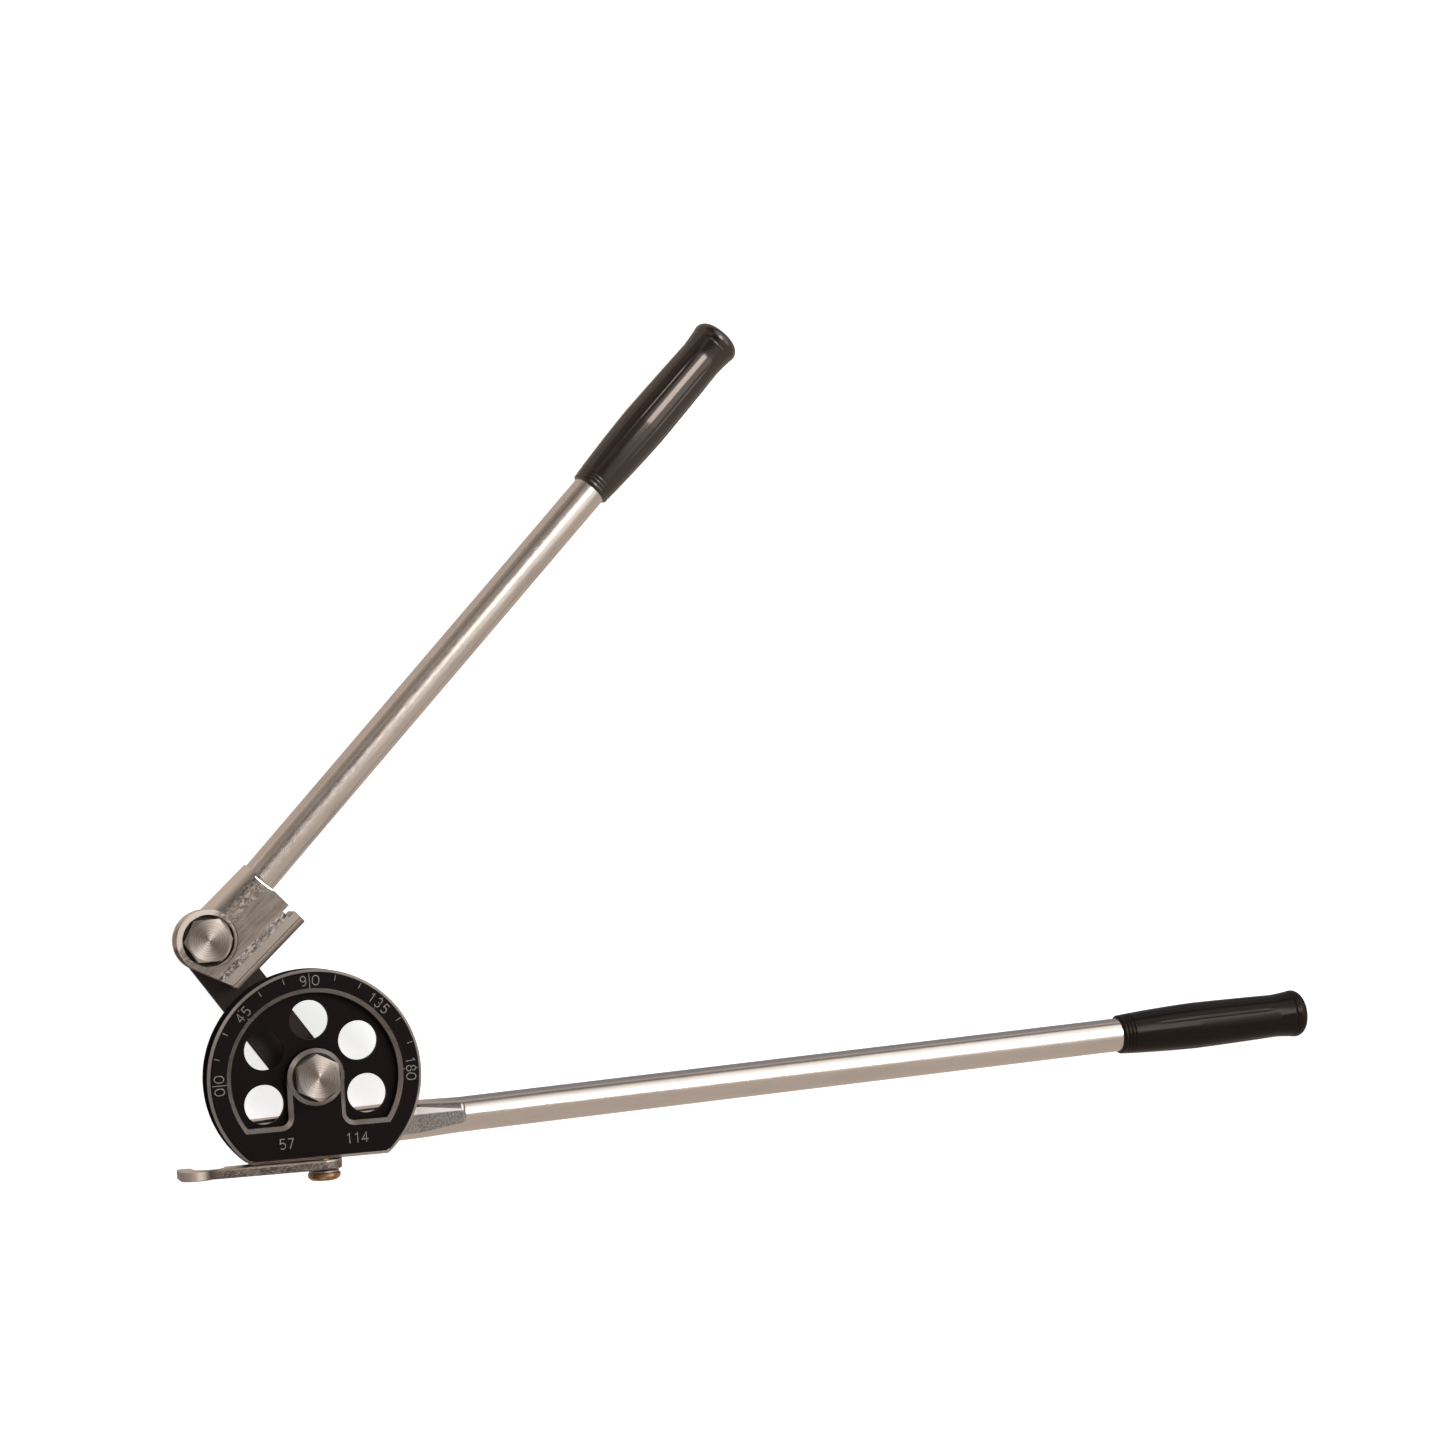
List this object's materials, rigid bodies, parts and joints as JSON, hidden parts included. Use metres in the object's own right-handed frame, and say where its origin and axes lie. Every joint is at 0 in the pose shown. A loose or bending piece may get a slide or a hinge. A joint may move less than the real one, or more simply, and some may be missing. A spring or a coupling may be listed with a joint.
{
  "type": "manual tube bender",
  "caption": "Lever tube bender: grooved forming wheel with an angle scale on a fixed handle, hinged link, shoe bracket on a lever handle, and a hook latch.",
  "frame": {"origin": "on the forming wheel's axis, at the middle of its groove", "axes": "+Z along the wheel's axis towards the marked face, +X along the fixed handle, +Y away from the latch"},
  "size_m": [0.6606, 0.448, 0.0498],
  "materials": {
    "black_aluminium": "black anodised, satin, with bare polished bevels",
    "plated_tube": "zinc plated, satin",
    "plated_sheet": "zinc plated, slightly rough",
    "bolt_steel": "turned, satin",
    "spring_steel": "satin",
    "black_oxide": "black, satin",
    "bronze": "satin",
    "copper_plate": "copper plated, dull",
    "black_vinyl": "glossy dipped vinyl"
  },
  "bodies": {
    "wheel_side": {"forming_wheel": "black_aluminium", "fixed_handle_tube": "plated_tube", "fixed_handle_grip": "black_vinyl", "handle_spring_pins": "spring_steel", "centre_bolt": "bolt_steel", "centre_seal_washer": "black_oxide", "hub_thrust_washer": "spring_steel", "centre_nut_washer": "bolt_steel", "centre_nut": "bolt_steel", "latch_screw": "copper_plate", "latch_spring_washer": "black_oxide"},
    "link": {"link_plate": "black_oxide", "link_bush": "bronze", "arm_pivot_bolt": "bolt_steel", "arm_head_washer": "black_oxide", "arm_thrust_washer": "spring_steel", "arm_nut_washer": "bolt_steel", "arm_pivot_nut": "bolt_steel"},
    "forming_arm": {"shoe_bracket": "plated_sheet", "arm_handle_tube": "plated_tube", "arm_handle_grip": "black_vinyl", "arm_pivot_bush": "bronze"},
    "latch": {"latch_hook": "plated_sheet"}
  },
  "joints": [
    {"name": "link_swing", "type": "hinge", "parent": "wheel_side", "child": "link", "pos_m": [0, 0, 0], "axis": [0, 0, 1], "range_deg": [-30, 73]},
    {"name": "handle_pivot", "type": "hinge", "parent": "link", "child": "forming_arm", "pos_m": [-0.04984, 0.07734, 0], "axis": [0, 0, 1], "range_deg": [-25.5, 100]},
    {"name": "latch_swing", "type": "hinge", "parent": "wheel_side", "child": "latch", "pos_m": [0.00074, -0.04645, 0.00675], "axis": [0.0314, 0.9995, 0], "range_deg": [0, 80]}
  ]
}
